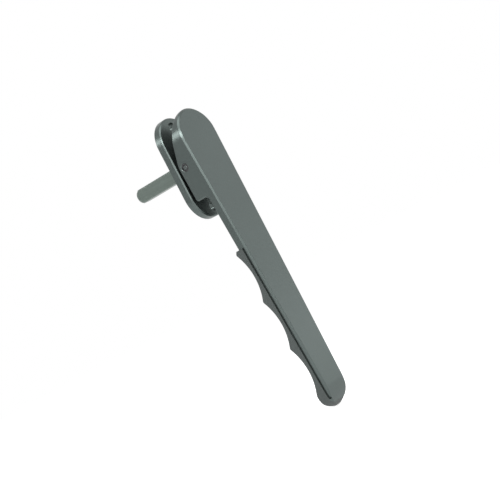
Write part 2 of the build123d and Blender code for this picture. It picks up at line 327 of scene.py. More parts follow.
spindle_steel = lined_steel(
    "drawn spindle steel", (0.130, 0.158, 0.142), metal=0.9, roughness=0.36,
    line_depth=0.010 * MM, stretch=ALONG_THE_SPINDLE,
)
dark_steel = lined_steel(
    "phosphated steel", (0.090, 0.102, 0.100), metal=1.0, roughness=0.40,
    line_depth=0.004 * MM,
)
spring_steel = lined_steel(
    "oiled spring steel", (0.20, 0.21, 0.22), metal=1.0, roughness=0.30,
    line_depth=0.004 * MM,
)
print("Steels:", [steel.name for steel in (spindle_steel, dark_steel, spring_steel)])

# %% [markdown]
# ## Bearing plastic
#
# The bushes and washers are black acetal, a slippery plastic with a soft sheen. Pure black would
# hide their shape, so the colour wanders between two greys that are nearly black.

# %% Black acetal
TEXTURE_PER_METRE = 1800
TEXTURE_DEPTH = 0.006 * MM
ACETAL_SHADES = ((0.012, 0.012, 0.013, 1), (0.022, 0.022, 0.024, 1))
ACETAL_ROUGHNESS = 0.42
ACETAL_DULLING = 0.12

bearing_plastic, finish = start_finish("black acetal")
texture = finish.noise(finish.place(), TEXTURE_PER_METRE)
finish.feed(finish.shader, {
    "Base Color": finish.blend(texture, *ACETAL_SHADES),
    "Roughness": ACETAL_ROUGHNESS + swing(texture, ACETAL_DULLING),
    "Normal": finish.relief(texture, TEXTURE_DEPTH),
})
print(bearing_plastic.name, "has a roughness of", ACETAL_ROUGHNESS)

# %% [markdown]
# ## The lever
#
# The lever is one zinc casting. Seen from the front it is a wide arc round the hub and a narrow
# one at the tip, joined by straight tangents. It leans by a degree and a half, so that the tip
# stays clear of the door. Its outer form is drawn upright, where its faces are flat and square
# to each other, and leaned over before the pocket and the bores are cut.

# %% Sizes of the lever
SPARE = 2 * MM
PIVOT_FRONT = 9.5 * MM
LEVER_FRONT = 17.4 * MM
RAKE = radians(1.5)
HUB_END_RADIUS = 13.5 * MM
TIP_RADIUS = 8.3 * MM
HUB_END_RISE = 12.2 * MM
LEVER_SPAN = 137.4 * MM
NOSE_LENGTH = 12.0 * MM
NOSE_RADIUS = 18.0 * MM
FRONT_CHAMFER = 0.9 * MM
PLATE_THICKNESS = 2.6 * MM
GRIP_START = 46.4 * MM
LEVER_TOP = HUB_END_RISE + HUB_END_RADIUS + SPARE
LEVER_BOTTOM = HUB_END_RISE - LEVER_SPAN - TIP_RADIUS
NOSE_TOP = LEVER_BOTTOM + NOSE_LENGTH

# The lever's own upright: y is the depth behind its front face and z runs up the lever.
lever_place = Matrix.Translation((0, -LEVER_FRONT, 0)) @ Matrix.Rotation(-RAKE, 4, "X")


def on_lever(place, height):
    """The depth behind the front face and the height up the lever of a place on the handle."""
    return tuple((lever_place.inverted() @ Vector((0, place, height))).yz)


print("Lever's lower end in mm:", round(LEVER_BOTTOM / MM, 1))

# %% [markdown]
# The front edge is chamfered all the way round, and the front face curves back at the tip. A
# bevel would be the short way, but it tears on the thin strips of the curved tip. So the blank
# is built of rings: each ring is the outline moved inwards by an inset and back by a depth,
# and the faces run from one ring to the next.

# %% Outline of the lever
ARC_STEPS = 56
STRAIGHT_STEP = 0.9 * MM
STRAIGHT_COUNT = 4
STRAIGHT_HEIGHTS = [NOSE_TOP - step * STRAIGHT_STEP for step in range(STRAIGHT_COUNT)]


def outline_points(inset):
    """Points round the outline, and how many of them make the hub end and one lower side."""
    lean = asin((HUB_END_RADIUS - TIP_RADIUS) / LEVER_SPAN)
    arcs = []
    for centre, radius, start, sweep in (
        (HUB_END_RISE, HUB_END_RADIUS - inset, -lean, pi + 2 * lean),
        (HUB_END_RISE - LEVER_SPAN, TIP_RADIUS - inset, pi + lean, pi - 2 * lean),
    ):
        angles = [start + sweep * step / ARC_STEPS for step in range(ARC_STEPS + 1)]
        arcs.append([(radius * cos(angle), centre + radius * sin(angle)) for angle in angles])
    hub_end, tip_end = arcs
    top, bottom = hub_end[-1], tip_end[0]
    slope = (bottom[0] - top[0]) / (bottom[1] - top[1])
    straight = [(top[0] + slope * (height - top[1]), height) for height in STRAIGHT_HEIGHTS]
    left = straight + tip_end[:ARC_STEPS // 2 + 1]
    right = [(-across, height) for across, height in left]
    return hub_end + left + right[-2::-1], len(hub_end), len(left)


print("Points round the lever:", len(outline_points(0)[0]))

# %% Blank of the lever
# Pairs of inset and depth, as shares of the chamfer: the chamfer and the small rounds beside it.
FRONT_EDGE = (
    (1.16, 0), (1.06, 0.012), (0.97, 0.048), (0.90, 0.10),
    (0.10, 0.90), (0.048, 0.97), (0.012, 1.06), (0, 1.16),
)


def nose_depth(height):
    """How far the front face has curved back at a height."""
    drop = max(NOSE_TOP - height, 0)
    return NOSE_RADIUS - sqrt(NOSE_RADIUS**2 - drop**2)


def lever_blank(inset):
    """The outline as a solid, with the nose at its tip and the chamfer round its front."""
    shape = bmesh.new()
    rings = []
    for step_in, depth in FRONT_EDGE:
        points, hub_count, side_count = outline_points(inset + step_in * FRONT_CHAMFER)
        rings.append([
            shape.verts.new((across, nose_depth(height) + depth * FRONT_CHAMFER, height))
            for across, height in points
        ])
    rings.append([shape.verts.new((v.co.x, LEVER_FRONT, v.co.z)) for v in rings[-1]])
    for ring, following in zip(rings, rings[1:]):
        for number in range(len(ring)):
            shape.faces.new((
                ring[number - 1], ring[number], following[number], following[number - 1]
            ))
    front = rings[0]
    left = front[hub_count:hub_count + side_count]
    right = (front[hub_count + side_count - 1:])[::-1]
    shape.faces.new(front[:hub_count] + [left[0], right[0]])
    for upper in range(side_count - 1):
        corners = (left[upper], left[upper + 1], right[upper + 1], right[upper])
        shape.faces.new(list(dict.fromkeys(corners)))
    shape.faces.new(rings[-1])
    bmesh.ops.recalc_face_normals(shape, faces=shape.faces)
    return shape


lever_shape = lever_blank(0)
print("Blank has", len(lever_shape.faces), "faces")

# %% [markdown]
# ## Cutting one solid with another
#
# The blank needs steps, pockets and bores. They could be drawn into its faces by hand, but a
# Boolean cuts them at any angle and leaves a closed solid. It keeps the material number of
# each face, so faces made by the tool get number 1, and the edges that it leaves are found
# afterwards by the change of number.

# %% Helpers for cuts
SAME_PLACE = 0.0002 * MM


def as_object(shape, name="working piece"):
    """Puts a bmesh into a new object."""
    mesh = bpy.data.meshes.new(name)
    shape.to_mesh(mesh)
    shape.free()
    piece = bpy.data.objects.new(name, mesh)
    bpy.context.scene.collection.objects.link(piece)
    return piece


def number_faces(shape, number):
    """Gives all faces one material number."""
    for face in shape.faces:
        face.material_index = number


def combine(shape, tool, operation="DIFFERENCE"):
    """Cuts, joins or intersects two solids. Only the tool's faces get material number 1."""
    number_faces(shape, 0)
    number_faces(tool, 1)
    target, cutter = as_object(shape), as_object(tool)
    for used in (target, cutter):
        used.data.materials.append(None)
        used.data.materials.append(None)
    boolean = target.modifiers.new("cut", "BOOLEAN")
    boolean.operation = operation
    boolean.solver = "EXACT"
    boolean.object = cutter
    result = bmesh.new()
    result.from_object(target, bpy.context.evaluated_depsgraph_get())
    bmesh.ops.remove_doubles(result, verts=result.verts, dist=SAME_PLACE)
    for used in (target, cutter):
        mesh = used.data
        bpy.data.objects.remove(used)
        bpy.data.meshes.remove(mesh)
    return result


def cut_edges(shape):
    """Edges between the solid's own faces and the faces that the last tool made."""
    return [
        edge for edge in shape.edges
        if len(edge.link_faces) == 2
        and edge.link_faces[0].material_index != edge.link_faces[1].material_index
    ]


# %% [markdown]
# The first tools are flat outlines that are pulled out to prisms. Their round stretches are made
# by spin, which turns one vertex about a centre and leaves edges behind it.

# %% Helpers for outlines and prisms
FROM_THE_FRONT = (0, -1, 0)
FROM_THE_SIDE = (1, 0, 0)


def arc(shape, start, centre, angle, steps, axis=FROM_THE_FRONT):
    """Turns a vertex about a centre and returns the arc's last vertex."""
    swept = bmesh.ops.spin(
        shape, geom=[start], cent=centre, axis=axis, angle=angle, steps=steps
    )
    return next(item for item in swept["geom_last"] if isinstance(item, bmesh.types.BMVert))


def fill(shape):
    """Closes an outline of edges with one face."""
    bmesh.ops.contextual_create(shape, geom=shape.edges[:])


def pull(shape, way):
    """Pulls a flat face out to a closed prism with its faces pointing outwards."""
    pulled = bmesh.ops.extrude_face_region(shape, geom=shape.faces[:])
    ends = [item for item in pulled["geom"] if isinstance(item, bmesh.types.BMVert)]
    bmesh.ops.translate(shape, vec=way, verts=ends)
    bmesh.ops.recalc_face_normals(shape, faces=shape.faces)


def oblong(top, top_radius, bottom, bottom_radius, depth, steps=56):
    """A prism bounded by two arcs and their tangents, from y = 0 to y = depth."""
    shape = bmesh.new()
    lean = asin((top_radius - bottom_radius) / (top - bottom))
    side = Vector((cos(lean), 0, -sin(lean)))
    first = shape.verts.new(Vector((0, 0, top)) + top_radius * side)
    last = arc(shape, first, (0, 0, top), pi + 2 * lean, steps)
    side.x = -side.x
    second = shape.verts.new(Vector((0, 0, bottom)) + bottom_radius * side)
    end = arc(shape, second, (0, 0, bottom), pi - 2 * lean, steps)
    shape.edges.new((last, second))
    shape.edges.new((end, first))
    fill(shape)
    pull(shape, (0, depth, 0))
    return shape


def block(low, high):
    """A box between two corners."""
    shape = bmesh.new()
    low, high = Vector(low), Vector(high)
    bmesh.ops.create_cube(shape, size=1, matrix=Matrix.LocRotScale(
        (low + high) / 2, None, high - low
    ))
    return shape


# %% [markdown]
# Between the plate and the grip is a dark seam. It is no painted line but a step round the
# back of the plate, which stays in shadow. The tool is a box across the lever without an oblong
# core, and the core is what is left of the plate. The step ends a little above the tip, where
# the plate and the grip meet.

# %% Seam round the plate
SEAM_WIDTH = 1.4 * MM
SEAM_DEPTH = 0.9 * MM
SEAM_END = 128.5 * MM
seam_tool = block(
    (-2 * HUB_END_RADIUS, PLATE_THICKNESS - SEAM_WIDTH, -SEAM_END),
    (2 * HUB_END_RADIUS, PLATE_THICKNESS + SEAM_WIDTH, -GRIP_START),
)
seam_core = oblong(
    HUB_END_RISE, HUB_END_RADIUS - SEAM_DEPTH,
    HUB_END_RISE - LEVER_SPAN, TIP_RADIUS - SEAM_DEPTH, LEVER_FRONT,
)
lever_shape = combine(lever_shape, combine(seam_tool, seam_core))
print("Seam edges:", len(cut_edges(lever_shape)))

# %% [markdown]
# Seen from the side the lever is a deep block at the hub, then a flat bar, and then the plate that
# carries the grip. The block's back is cut away at an angle, so that the lever can tip out
# without touching the rosette. The three are one casting, so one outline cuts them across the
# blank. Three corners of the block are rounded in that outline, and the cut's own edges above
# the grip are rounded after it.

# %% Helpers for corners and edges
def outline_edges(shape, corners):
    """Joins a closed row of vertices with edges."""
    for corner, following in zip(corners, corners[1:] + corners[:1]):
        shape.edges.new((corner, following))


def round_corners(shape, corners, size, segments):
    """Rounds corners of a flat outline."""
    bmesh.ops.bevel(
        shape, geom=corners, offset=size, offset_type="OFFSET", segments=segments,
        profile=0.5, affect="VERTICES", clamp_overlap=True, material=-1,
    )


def soften(shape, edges, size, segments=4):
    """Rounds edges with a small bevel."""
    return bmesh.ops.bevel(
        shape, geom=edges, offset=size, offset_type="OFFSET", segments=segments,
        profile=0.5, affect="EDGES", clamp_overlap=True, material=-1,
    )


# %% Side view of the lever
TINY = 0.01 * MM
BLOCK_FRONT = 5.9 * MM
BLOCK_DROP = 17.2 * MM
BLOCK_EDGE_ROUND = 0.8 * MM
BLOCK_CORNER_RADIUS = 1.5 * MM
ROOT_RADIUS = 2.0 * MM
RELIEF_RISE = 1.8 * MM
RELIEF_ANGLE = radians(19)
BAR_THICKNESS = 4.8 * MM

heel = on_lever(-BLOCK_FRONT, -BLOCK_DROP)
relief_end = BLOCK_FRONT + (LEVER_TOP - RELIEF_RISE) * tan(RELIEF_ANGLE)
side_view = [
    (-SPARE, LEVER_TOP),
    (-SPARE, LEVER_BOTTOM - SPARE),
    (PLATE_THICKNESS, LEVER_BOTTOM - SPARE),
    (PLATE_THICKNESS, -GRIP_START),
    (BAR_THICKNESS, -GRIP_START),
    (BAR_THICKNESS, heel[1]),
    heel,
    on_lever(-BLOCK_FRONT, RELIEF_RISE),
    on_lever(-relief_end, LEVER_TOP),
]
side_tool = bmesh.new()
corners = [side_tool.verts.new((-2 * HUB_END_RADIUS, *point)) for point in side_view]
outline_edges(side_tool, corners)
fill(side_tool)
for corner, radius in zip(corners[5:8], (ROOT_RADIUS, BLOCK_CORNER_RADIUS, BLOCK_CORNER_RADIUS)):
    round_corners(side_tool, [corner], radius, segments=8)
pull(side_tool, (4 * HUB_END_RADIUS, 0, 0))
lever_shape = combine(lever_shape, side_tool, "INTERSECT")
above_grip = [
    edge for edge in cut_edges(lever_shape)
    if any(v.co.z > TINY - GRIP_START for v in edge.verts)
]
print("Cut edges:", len(cut_edges(lever_shape)), "of which rounded:", len(above_grip))
soften(lever_shape, above_grip, BLOCK_EDGE_ROUND)
bmesh.ops.transform(lever_shape, matrix=lever_place, verts=lever_shape.verts)

# %% [markdown]
# ## The pocket
#
# The pocket at the back of the block takes the hub's tongue. Its four long edges are rounded, as
# in any casting, and its mouth is deburred. A softened box cuts it in one go, and the edges
# that the cut leaves are softened after it.

# %% Pocket
POCKET_HALF_WIDTH = 6.15 * MM
POCKET_BOTTOM = -5.05 * MM
POCKET_TOP = 6.23 * MM
POCKET_FLOOR = 15.2 * MM
POCKET_ROUND = 0.6 * MM
POCKET_MOUTH_ROUND = 0.15 * MM
ALONG_THE_AXIS = Vector((0, 1, 0))
NEARLY_ALONG = 0.999


def edges_along(shape, direction):
    """Edges of a solid that run in one direction."""
    return [
        edge for edge in shape.edges
        if abs((edge.verts[0].co - edge.verts[1].co).normalized().dot(direction)) > NEARLY_ALONG
    ]


pocket = block(
    (-POCKET_HALF_WIDTH, -POCKET_FLOOR, POCKET_BOTTOM), (POCKET_HALF_WIDTH, SPARE, POCKET_TOP)
)
soften(pocket, edges_along(pocket, ALONG_THE_AXIS), POCKET_ROUND)
lever_shape = combine(lever_shape, pocket)
print("Edges of the pocket:", len(cut_edges(lever_shape)))
soften(lever_shape, cut_edges(lever_shape), POCKET_MOUTH_ROUND, segments=2)

# %% [markdown]
# ## The hinge's bore
#
# A bore for the bushes runs across the pocket, and its mouths in the block's sides are coned.
# What a lathe or a drill makes is turned here as well: half of its section is drawn as pairs of
# radius and place along the axis, and a full spin makes it a solid. A cylinder would do for
# the bore, but only a section gives the cones too.

# %% Helpers for turned shapes
PRESS_FIT = 0.01 * MM
RUNNING_FIT = 0.03 * MM


def turned(profile, centre=(0, 0, 0), across=False, steps=96):
    """A solid turned about an axis along Y, or along X if across, from radius and place pairs."""
    shape = bmesh.new()
    outline_edges(shape, [shape.verts.new((radius, place, 0)) for radius, place in profile])
    bmesh.ops.spin(
        shape, geom=shape.verts[:] + shape.edges[:], cent=(0, 0, 0), axis=(0, 1, 0),
        angle=2 * pi, steps=steps, use_merge=True,
    )
    bmesh.ops.remove_doubles(shape, verts=shape.verts, dist=SAME_PLACE)
    axis_lines = [edge for edge in shape.edges if len(edge.link_faces) == 0]
    bmesh.ops.delete(shape, geom=axis_lines, context="EDGES")
    quarter_turn = Matrix.Rotation(-pi / 2, 4, "Z") if across else Matrix.Identity(4)
    bmesh.ops.transform(
        shape, matrix=Matrix.Translation(centre) @ quarter_turn, verts=shape.verts
    )
    bmesh.ops.recalc_face_normals(shape, faces=shape.faces)
    return shape


def tube(inner, outer, start, end, centre=(0, 0, 0), across=False, steps=96):
    """A ring or a tube between two places on its axis."""
    return turned(
        [(inner, start), (outer, start), (outer, end), (inner, end)], centre, across, steps
    )


def rod(radius, start, end, centre=(0, 0, 0), across=False, steps=64):
    """A round rod, which is a tube without a hole."""
    return tube(0, radius, start, end, centre, across, steps)


# %% Bore and its mouths
BUSH_RADIUS = 2.0 * MM
BORE_RADIUS = BUSH_RADIUS + PRESS_FIT
MOUTH_CHAMFER = 0.25 * MM
PIVOT = Vector((0, -PIVOT_FRONT, 0))
half_width_at_pivot = HUB_END_RADIUS - (HUB_END_RADIUS - TIP_RADIUS) * HUB_END_RISE / LEVER_SPAN
lever_shape = combine(
    lever_shape, rod(BORE_RADIUS, -HUB_END_RADIUS, HUB_END_RADIUS, PIVOT, across=True)
)
for side in (-1, 1):
    inner = side * (half_width_at_pivot - MOUTH_CHAMFER)
    outer = side * (half_width_at_pivot + MOUTH_CHAMFER)
    mouth = turned(
        [(0, inner), (BORE_RADIUS, inner), (BORE_RADIUS + 2 * MOUTH_CHAMFER, outer), (0, outer)],
        PIVOT, across=True, steps=64,
    )
    lever_shape = combine(lever_shape, mouth)
print("Block is", round(2 * half_width_at_pivot / MM, 1), "mm wide at the pin")

# %% [markdown]
# Two pegs on the grip locate it, and the plate has a socket for each. They stand at the two
# middle crests, where the grip is thick. Plain round cutters are enough for the sockets.

# %% Peg sockets
FIRST_CREST = 48.0 * MM
CREST_PITCH = 25.5 * MM
CREST_COUNT = 4
PEG_RADIUS = 1.5 * MM
PEG_LENGTH = 1.2 * MM
PEG_HEIGHTS = [-FIRST_CREST - number * CREST_PITCH for number in range(1, CREST_COUNT - 1)]

for height in PEG_HEIGHTS:
    socket = rod(PEG_RADIUS + RUNNING_FIT, -PEG_LENGTH, PEG_LENGTH, (0, PLATE_THICKNESS, height))
    bmesh.ops.transform(socket, matrix=lever_place, verts=socket.verts)
    lever_shape = combine(lever_shape, socket)
print("Peg sockets:", len(PEG_HEIGHTS))

# %% [markdown]
# ## From a shape to a piece
#
# A finished shape becomes an object that rides on its body, takes the place of a imported node
# and gets its finish. Its faces are smooth, but edges sharper than 32 degrees stay sharp. The
# Weighted Normal modifier lets large faces decide how their small neighbours are shaded, which
# keeps flat faces flat beside the bevels.

# %% Lever
SHARP_ANGLE = radians(32)
FULL_WEIGHT = 100


def finish_piece(shape, name, body, finish, node):
    """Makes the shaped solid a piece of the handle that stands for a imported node."""
    number_faces(shape, 0)
    for face in shape.faces:
        face.smooth = True
    print(name, "holds", round(shape.calc_volume() / MM**3), "cubic mm")
    piece = as_object(shape, name)
    piece.data.set_sharp_from_angle(angle=SHARP_ANGLE)
    piece.data.materials.append(finish)
    evened = piece.modifiers.new("even shading", "WEIGHTED_NORMAL")
    evened.keep_sharp = True
    evened.weight = FULL_WEIGHT
    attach(piece, body)
    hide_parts(node)


finish_piece(lever_shape, "lever_casting", "lever_arm", handle_paint, "lever")

# %% [markdown]
# ## The finger grip
#
# The grip is a moulded inlay behind the plate. It follows the lever's outline a little inside
# it, so it is cut from the same blank. Its back has three finger hollows between four crests, and
# its lower end is rounded towards the tip. Sculpting could give such a form, but the real
# hollows are plain arcs, so each is one arc of the side view.

# %% Side view of the grip
GRIP_INSET = 0.15 * MM
FIRST_CREST_DEPTH = 7.6 * MM
LAST_CREST_DEPTH = 7.8 * MM
NOTCH_DEPTH = 3.2 * MM
CREST_SOFTENING = 0.65 * MM
GRIP_LEAD = 1.2 * MM
GRIP_END_ROUND = 5.0 * MM
GRIP_END_TURN = radians(62)
GRIP_END = LEVER_BOTTOM - SPARE


def crest_point(number):
    """Depth and height of one crest, counted from the top."""
    share = number / (CREST_COUNT - 1)
    depth = FIRST_CREST_DEPTH + share * (LAST_CREST_DEPTH - FIRST_CREST_DEPTH)
    return Vector((0, depth, -FIRST_CREST - number * CREST_PITCH))


def hollow(shape, start, end, depth, steps=24):
    """An arc of edges from a vertex to the next crest, sunk by a given depth."""
    chord = end - start.co
    radius = (chord.length / 2) ** 2 / (2 * depth) + depth / 2
    inward = Vector((0, chord.z, -chord.y)).normalized()
    centre = (start.co + end) / 2 + inward * (depth - radius)
    angle = 2 * asin(chord.length / 2 / radius)
    return arc(shape, start, centre, angle, steps, axis=FROM_THE_SIDE)


grip_view = bmesh.new()
crests = [grip_view.verts.new(crest_point(0))]
for number in range(1, CREST_COUNT):
    crests.append(hollow(grip_view, crests[-1], crest_point(number), NOTCH_DEPTH))
end_start = grip_view.verts.new((0, LAST_CREST_DEPTH, LEVER_BOTTOM + GRIP_END_ROUND))
end_centre = (0, LAST_CREST_DEPTH - GRIP_END_ROUND, LEVER_BOTTOM + GRIP_END_ROUND)
end_stop = arc(
    grip_view, end_start, end_centre, -GRIP_END_TURN, steps=8, axis=FROM_THE_SIDE
)
grip_view.edges.new((crests[-1], end_start))
outer = [
    grip_view.verts.new(point) for point in (
        (0, LAST_CREST_DEPTH - GRIP_END_ROUND, GRIP_END),
        (0, PLATE_THICKNESS, GRIP_END),
        (0, PLATE_THICKNESS, -GRIP_START),
        (0, FIRST_CREST_DEPTH - GRIP_LEAD, -GRIP_START),
    )
]
for corner, following in zip([end_stop] + outer, outer + [crests[0]]):
    grip_view.edges.new((corner, following))
fill(grip_view)
round_corners(grip_view, crests, CREST_SOFTENING, segments=6)
print("Crests in mm:", [round(crest_point(number).z / MM) for number in range(CREST_COUNT)])

# %% [markdown]
# The side view is pulled across the blank and the two are intersected. Where the round end
# crosses the facets of the tip, the cut leaves corners that nearly touch, and a bevel can't be
# wider than the shortest edge beside it. So such corners are merged before the rim is softened.
# The edge against the plate stays sharp, because it lies in the seam's shadow.

# %% Finger grip
GRIP_EDGE_ROUND = 0.7 * MM
RIM_MERGE = 0.15 * MM
ON_PLANE = 0.001 * MM
PEG_OVERLAP = 0.1 * MM


def edges_at(edges, depth):
    """Those edges that lie in the plane across the axis at one depth."""
    return [
        edge for edge in edges if all(abs(v.co.y - depth) < ON_PLANE for v in edge.verts)
    ]


bmesh.ops.translate(grip_view, vec=(-HUB_END_RADIUS, 0, 0), verts=grip_view.verts)
pull(grip_view, (2 * HUB_END_RADIUS, 0, 0))
grip_shape = combine(lever_blank(GRIP_INSET), grip_view, "INTERSECT")
cut_corners = {corner for edge in cut_edges(grip_shape) for corner in edge.verts}
bmesh.ops.remove_doubles(
    grip_shape, verts=[v for v in grip_shape.verts if v in cut_corners], dist=RIM_MERGE
)
seat_rim = edges_at(cut_edges(grip_shape), PLATE_THICKNESS)
finger_rim = [edge for edge in cut_edges(grip_shape) if edge not in seat_rim]
shortest = min(edge.calc_length() for edge in finger_rim)
print("Shortest edge of the rim in mm:", round(shortest / MM, 2))
soften(grip_shape, finger_rim, GRIP_EDGE_ROUND, segments=6)
for height in PEG_HEIGHTS:
    peg = rod(PEG_RADIUS, -PEG_LENGTH, PEG_OVERLAP, (0, PLATE_THICKNESS, height), steps=48)
    grip_shape = combine(grip_shape, peg, "UNION")
bmesh.ops.transform(grip_shape, matrix=lever_place, verts=grip_shape.verts)
finish_piece(grip_shape, "finger_grip_inlay", "lever_arm", grip_plastic, "finger_grip")

# %% [markdown]
# ## The rosette
#
# The rosette is a flat oblong plate. Its front rim is a narrow chamfer with softened edges, which
# gives the bright line round it. One bevel with a single segment makes the chamfer, and a
# smaller one rounds the two edges that the first has left.

# %% Plate of the rosette
ROSETTE_WIDTH = 25.0 * MM
ROSETTE_HEIGHT = 52.8 * MM
ROSETTE_THICKNESS = 4.0 * MM
ROSETTE_RIM = 0.7 * MM
RIM_SOFTENING = ROSETTE_RIM / 4
BACK_EDGE_ROUND = 0.12 * MM
NEARLY_FLAT = 0.9
NEARLY_UPRIGHT = 0.1

end_height = (ROSETTE_HEIGHT - ROSETTE_WIDTH) / 2
rosette_shape = oblong(
    end_height, ROSETTE_WIDTH / 2, -end_height, ROSETTE_WIDTH / 2, ROSETTE_THICKNESS
)
bmesh.ops.translate(rosette_shape, vec=(0, -ROSETTE_THICKNESS, 0), verts=rosette_shape.verts)
rim = soften(
    rosette_shape, edges_at(rosette_shape.edges, -ROSETTE_THICKNESS), ROSETTE_RIM, segments=1
)
rim_edges = {edge for face in rim["faces"] for edge in face.edges if any(
    abs(neighbour.normal.y) > NEARLY_FLAT or abs(neighbour.normal.y) < NEARLY_UPRIGHT
    for neighbour in edge.link_faces
)}
soften(rosette_shape, list(rim_edges), RIM_SOFTENING, segments=3)
soften(rosette_shape, edges_at(rosette_shape.edges, 0), BACK_EDGE_ROUND, segments=2)
print("Rosette's plate has", len(rosette_shape.faces), "faces")

# %% [markdown]
# The plate has a bore for the bush, a recess in its back for the disc spring and the ring, and
# two empty screw holes. The cutter for a screw hole is turned from its section, so that it
# breaks the hole's edge as well. After each cut only the edges in the front face are softened,
# because the others are hidden against the door.

# %% Holes of the rosette
RECESS_RADIUS = 11.0 * MM
RECESS_DEPTH = 1.9 * MM
SCREW_SPACING = 43.0 * MM
SCREW_HOLE_RADIUS = 2.15 * MM
SCREW_MOUTH_CHAMFER = 0.25 * MM
SCREW_MOUTH_RADIUS = SCREW_HOLE_RADIUS + SCREW_MOUTH_CHAMFER
BUSH_OUTER_RADIUS = 7.53 * MM
MOUTH_SOFTENING = 0.1 * MM

cutters = [
    rod(RECESS_RADIUS, -RECESS_DEPTH, SPARE, steps=96),
    rod(BUSH_OUTER_RADIUS + PRESS_FIT, -ROSETTE_THICKNESS - SPARE, SPARE, steps=96),
]
for height in (-SCREW_SPACING / 2, SCREW_SPACING / 2):
    cutters.append(turned(
        [
            (0, SPARE),
            (SCREW_HOLE_RADIUS, SPARE),
            (SCREW_HOLE_RADIUS, SCREW_MOUTH_CHAMFER - ROSETTE_THICKNESS),
            (SCREW_MOUTH_RADIUS, -ROSETTE_THICKNESS),
            (SCREW_MOUTH_RADIUS, -ROSETTE_THICKNESS - SPARE),
            (0, -ROSETTE_THICKNESS - SPARE),
        ],
        (0, 0, height), steps=64,
    ))
for cutter in cutters:
    rosette_shape = combine(rosette_shape, cutter)
    mouth = edges_at(cut_edges(rosette_shape), -ROSETTE_THICKNESS)
    soften(rosette_shape, mouth, MOUTH_SOFTENING, segments=2)
finish_piece(rosette_shape, "rosette_plate", "base", handle_paint, "rosette")

# %% [markdown]
# ## The bush and the disc spring
#
# The bush is a flanged sleeve in which the hub turns, and the disc spring behind it is a shallow
# cone of thin steel. They can be seen from behind, round the spindle. Both are round all the
# way, so each is turned from its section.

# %% Bush and disc spring
NECK_RADIUS = 6.5 * MM
FLANGE_RADIUS = 10.0 * MM
FLANGE_THICKNESS = 0.35 * MM
SPRING_BACK = 1.35 * MM
SPRING_CONE = 0.12 * MM
SPRING_THICKNESS = 0.3 * MM
SPRING_PLAY = 0.1 * MM
SPRING_INNER = NECK_RADIUS + SPRING_PLAY
SPRING_OUTER = 9.5 * MM

bush_inner = NECK_RADIUS + RUNNING_FIT
bush_shape = turned([
    (bush_inner, -RECESS_DEPTH),
    (BUSH_OUTER_RADIUS, -RECESS_DEPTH),
    (BUSH_OUTER_RADIUS, -ROSETTE_THICKNESS),
    (FLANGE_RADIUS, -ROSETTE_THICKNESS),
    (FLANGE_RADIUS, -ROSETTE_THICKNESS - FLANGE_THICKNESS),
    (bush_inner, -ROSETTE_THICKNESS - FLANGE_THICKNESS),
])
finish_piece(
    bush_shape, "flanged_bush", "base", bearing_plastic, "bearing_bush"
)
disc_shape = turned([
    (SPRING_INNER, -SPRING_BACK),
    (SPRING_OUTER, -SPRING_BACK - SPRING_CONE),
    (SPRING_OUTER, -SPRING_BACK - SPRING_CONE - SPRING_THICKNESS),
    (SPRING_INNER, -SPRING_BACK - SPRING_THICKNESS),
])
finish_piece(disc_shape, "disc_spring_cone", "base", spring_steel, "disc_spring")

# %% [markdown]
# ## The retaining ring
#
# An open ring in the hub's groove keeps the hub from falling out of the rosette. It is punched
# from sheet, with two drilled lugs for the pliers. A curve with a thickness would have round
# edges, so it is put together from plain discs and then cut open.

# %% Retaining ring
RING_SETBACK = 0.525 * MM
RING_THICKNESS = 0.8 * MM
RING_WIDTH = 2.0 * MM
RING_GAP = 2.4 * MM
RING_INNER_RADIUS = 6.01 * MM
RING_OUTER_RADIUS = RING_INNER_RADIUS + RING_WIDTH
LUG_RADIUS = 1.35 * MM
LUG_HOLE_RADIUS = 0.55 * MM

ring_back = -RING_SETBACK
ring_front = -RING_SETBACK - RING_THICKNESS
ring_shape = tube(RING_INNER_RADIUS, RING_OUTER_RADIUS, ring_back, ring_front)
lug_height = -RING_OUTER_RADIUS - LUG_RADIUS / 3
lug_places = [(side * (RING_GAP / 2 + LUG_RADIUS), 0, lug_height) for side in (-1, 1)]
for place in lug_places:
    ring_shape = combine(ring_shape, rod(LUG_RADIUS, ring_front, ring_back, place), "UNION")
ring_shape = combine(ring_shape, block(
    (-RING_GAP / 2, -SPARE, -3 * RING_OUTER_RADIUS), (RING_GAP / 2, SPARE, -RING_INNER_RADIUS / 2)
))
for place in lug_places:
    ring_shape = combine(ring_shape, rod(LUG_HOLE_RADIUS, -SPARE, SPARE, place, steps=32))
finish_piece(
    ring_shape, "open_retaining_ring", "turning_hub", spring_steel,
    "retaining_ring",
)

# %% [markdown]
# ## The hub
#
# The hub is turned first, as on a lathe: a neck with a groove, and a collar. One section gives
# all of them, and nothing has to be joined. The hole for the spindle's cross pin is drilled
# through the neck.

# %% Turned body of the hub
COLLAR_BACK = 4.4 * MM
COLLAR_FRONT = 5.2 * MM
NECK_SETBACK = 0.3 * MM
GROOVE_PLAY = 0.025 * MM
CROSS_PIN_RADIUS = 0.9 * MM
CROSS_PIN = Vector((0, -2.95 * MM, 0))

